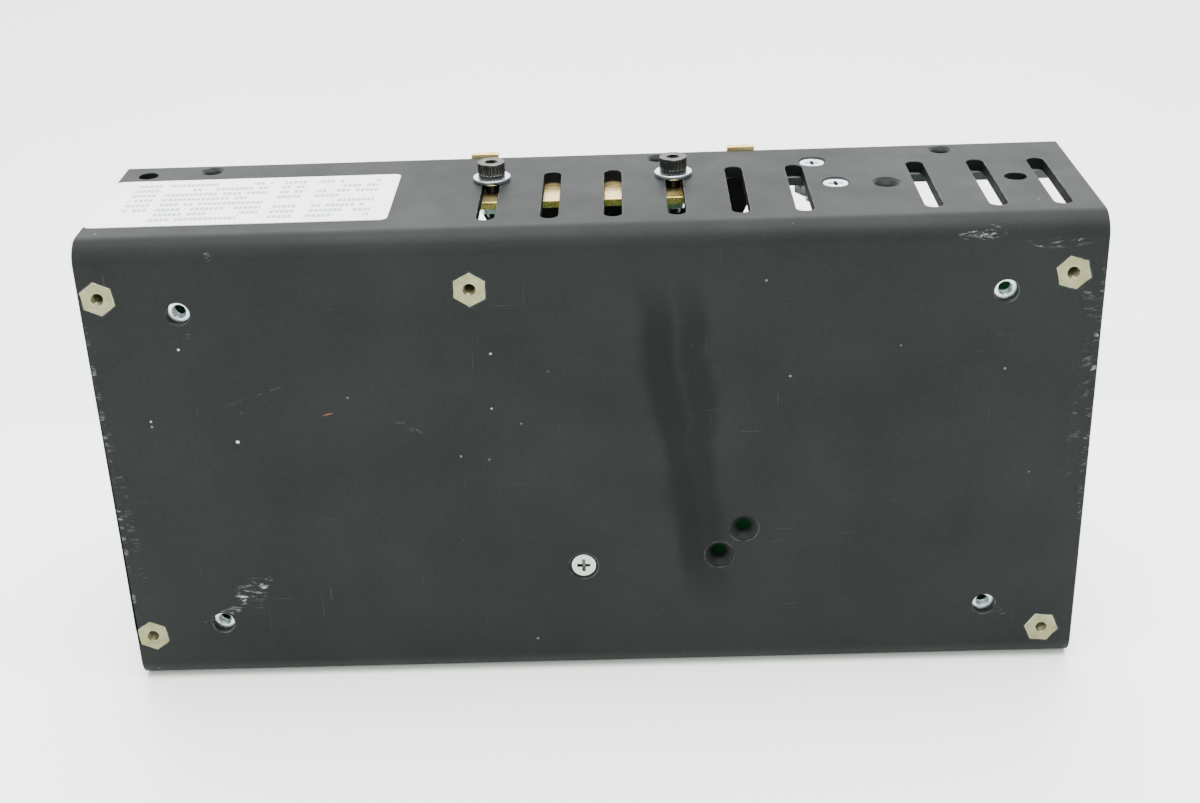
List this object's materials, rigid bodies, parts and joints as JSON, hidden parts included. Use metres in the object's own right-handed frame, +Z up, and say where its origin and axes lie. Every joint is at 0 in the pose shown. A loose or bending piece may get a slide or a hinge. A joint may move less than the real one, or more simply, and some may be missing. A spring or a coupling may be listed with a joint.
{
  "type": "din rail power supply",
  "caption": "Switching power supply in a black U-channel chassis with vent slots, threaded base inserts and a snap foot for a 35 mm rail.",
  "frame": {"origin": "bottom centre of the bounding box, on the surface the lower flange stands on", "axes": "+X along the channel, -Y out of the base plate with the threaded inserts, +Z up towards the vented flange"},
  "size_m": [0.204, 0.0594, 0.1067],
  "materials": {
    "chassis": "black anodised, satin, lightly scuffed",
    "hex_standoffs": "stainless, dull",
    "threaded_inserts": "zinc plated, bright",
    "base_screw": "zinc plated",
    "centre_spacer": "plain turned",
    "flange_screws": "zinc plated",
    "cap_screws": "black oxide",
    "flat_washers": "bright zinc",
    "hex_nuts": "zinc plated",
    "rating_label": "satin film label",
    "rail_bracket": "yellow chromate plated",
    "rail_foot": "moulded polyamide",
    "foot_screws": "zinc plated",
    "rail_latch": "zinc plated",
    "latch_spring": "spring steel",
    "circuit_board": "green solder mask on laminate",
    "board_screws": "zinc plated",
    "heat_spreader": "black anodised",
    "device_bodies": "moulded epoxy",
    "device_tabs": "tin plated copper",
    "device_pad": "filled silicone pad",
    "heat_sink": "black anodised extrusion",
    "input_block": "moulded polyester",
    "input_contacts": "tinned brass",
    "output_header": "moulded polyamide",
    "header_pins": "tin plated",
    "fuse": "glass tube with plated end caps",
    "fuse_clips": "plated spring brass",
    "thermistor": "coated disc",
    "choke_core": "ferrite",
    "choke_windings": "enamelled copper wire",
    "line_capacitors": "moulded film capacitor box",
    "safety_capacitors": "blue epoxy coated disc",
    "bridge_rectifier": "moulded epoxy",
    "bulk_capacitors": "sleeved aluminium can",
    "transformer_core": "ferrite",
    "transformer_bobbin": "moulded phenolic",
    "transformer_winding": "polyester tape over copper wire",
    "inductor_cores": "coated iron powder",
    "inductor_windings": "enamelled copper wire",
    "output_capacitors": "sleeved aluminium can",
    "integrated_circuits": "moulded epoxy",
    "control_card": "green solder mask on laminate",
    "resistors": "lacquered film resistor",
    "diodes": "moulded epoxy",
    "trimmer_body": "moulded polyester",
    "trimmer_rotor": "moulded nylon",
    "indicator_led": "diffused green epoxy",
    "clamp_plate_1": "zinc plated",
    "terminal_screw_1": "zinc plated",
    "clamp_plate_2": "zinc plated",
    "terminal_screw_2": "zinc plated",
    "clamp_plate_3": "zinc plated",
    "terminal_screw_3": "zinc plated"
  },
  "bodies": {
    "power_supply": {"chassis": "chassis", "hex_standoffs": "hex_standoffs", "threaded_inserts": "threaded_inserts", "base_screw": "base_screw", "centre_spacer": "centre_spacer", "flange_screws": "flange_screws", "cap_screws": "cap_screws", "flat_washers": "flat_washers", "hex_nuts": "hex_nuts", "rating_label": "rating_label", "rail_bracket": "rail_bracket", "rail_foot": "rail_foot", "foot_screws": "foot_screws", "latch_spring": "latch_spring", "circuit_board": "circuit_board", "board_screws": "board_screws", "heat_spreader": "heat_spreader", "device_bodies": "device_bodies", "device_tabs": "device_tabs", "device_pad": "device_pad", "heat_sink": "heat_sink", "input_block": "input_block", "input_contacts": "input_contacts", "output_header": "output_header", "header_pins": "header_pins", "fuse": "fuse", "fuse_clips": "fuse_clips", "thermistor": "thermistor", "choke_core": "choke_core", "choke_windings": "choke_windings", "line_capacitors": "line_capacitors", "safety_capacitors": "safety_capacitors", "bridge_rectifier": "bridge_rectifier", "bulk_capacitors": "bulk_capacitors", "transformer_core": "transformer_core", "transformer_bobbin": "transformer_bobbin", "transformer_winding": "transformer_winding", "inductor_cores": "inductor_cores", "inductor_windings": "inductor_windings", "output_capacitors": "output_capacitors", "integrated_circuits": "integrated_circuits", "control_card": "control_card", "resistors": "resistors", "diodes": "diodes", "trimmer_body": "trimmer_body", "indicator_led": "indicator_led"},
    "latch": {"rail_latch": "rail_latch"},
    "trimmer_rotor": {"trimmer_rotor": "trimmer_rotor"},
    "clamp_plate_1": {"clamp_plate_1": "clamp_plate_1"},
    "terminal_screw_1": {"terminal_screw_1": "terminal_screw_1"},
    "clamp_plate_2": {"clamp_plate_2": "clamp_plate_2"},
    "terminal_screw_2": {"terminal_screw_2": "terminal_screw_2"},
    "clamp_plate_3": {"clamp_plate_3": "clamp_plate_3"},
    "terminal_screw_3": {"terminal_screw_3": "terminal_screw_3"}
  },
  "joints": [
    {"name": "latch_slide", "type": "slide", "parent": "power_supply", "child": "latch", "axis": [0, 0, -1], "range_m": [0, 0.0036], "stiffness_N_per_m": 1200, "springref_m": -0.003, "deforming": ["latch_spring"]},
    {"name": "trimmer_turn", "type": "hinge", "parent": "power_supply", "child": "trimmer_rotor", "pos_m": [0.084, -0.01555, 0.077], "axis": [0, 1, 0], "range_deg": [-135, 135]},
    {"name": "clamp_plate_1_lift", "type": "slide", "parent": "power_supply", "child": "clamp_plate_1", "axis": [0, 1, 0], "range_m": [0, 0.0024]},
    {"name": "terminal_screw_1_turn", "type": "hinge", "parent": "clamp_plate_1", "child": "terminal_screw_1", "pos_m": [-0.093, -0.00855, 0.0365], "axis": [0, 1, 0], "range_deg": [0, 1080]},
    {"name": "clamp_plate_2_lift", "type": "slide", "parent": "power_supply", "child": "clamp_plate_2", "axis": [0, 1, 0], "range_m": [0, 0.0024]},
    {"name": "terminal_screw_2_turn", "type": "hinge", "parent": "clamp_plate_2", "child": "terminal_screw_2", "pos_m": [-0.093, -0.00855, 0.046], "axis": [0, 1, 0], "range_deg": [0, 1080]},
    {"name": "clamp_plate_3_lift", "type": "slide", "parent": "power_supply", "child": "clamp_plate_3", "axis": [0, 1, 0], "range_m": [0, 0.0024]},
    {"name": "terminal_screw_3_turn", "type": "hinge", "parent": "clamp_plate_3", "child": "terminal_screw_3", "pos_m": [-0.093, -0.00855, 0.0555], "axis": [0, 1, 0], "range_deg": [0, 1080]}
  ],
  "couplings": [
    {"joint": "terminal_screw_1_turn", "follows": "clamp_plate_1_lift", "rad_per_m": 7854},
    {"joint": "terminal_screw_2_turn", "follows": "clamp_plate_2_lift", "rad_per_m": 7854},
    {"joint": "terminal_screw_3_turn", "follows": "clamp_plate_3_lift", "rad_per_m": 7854}
  ]
}
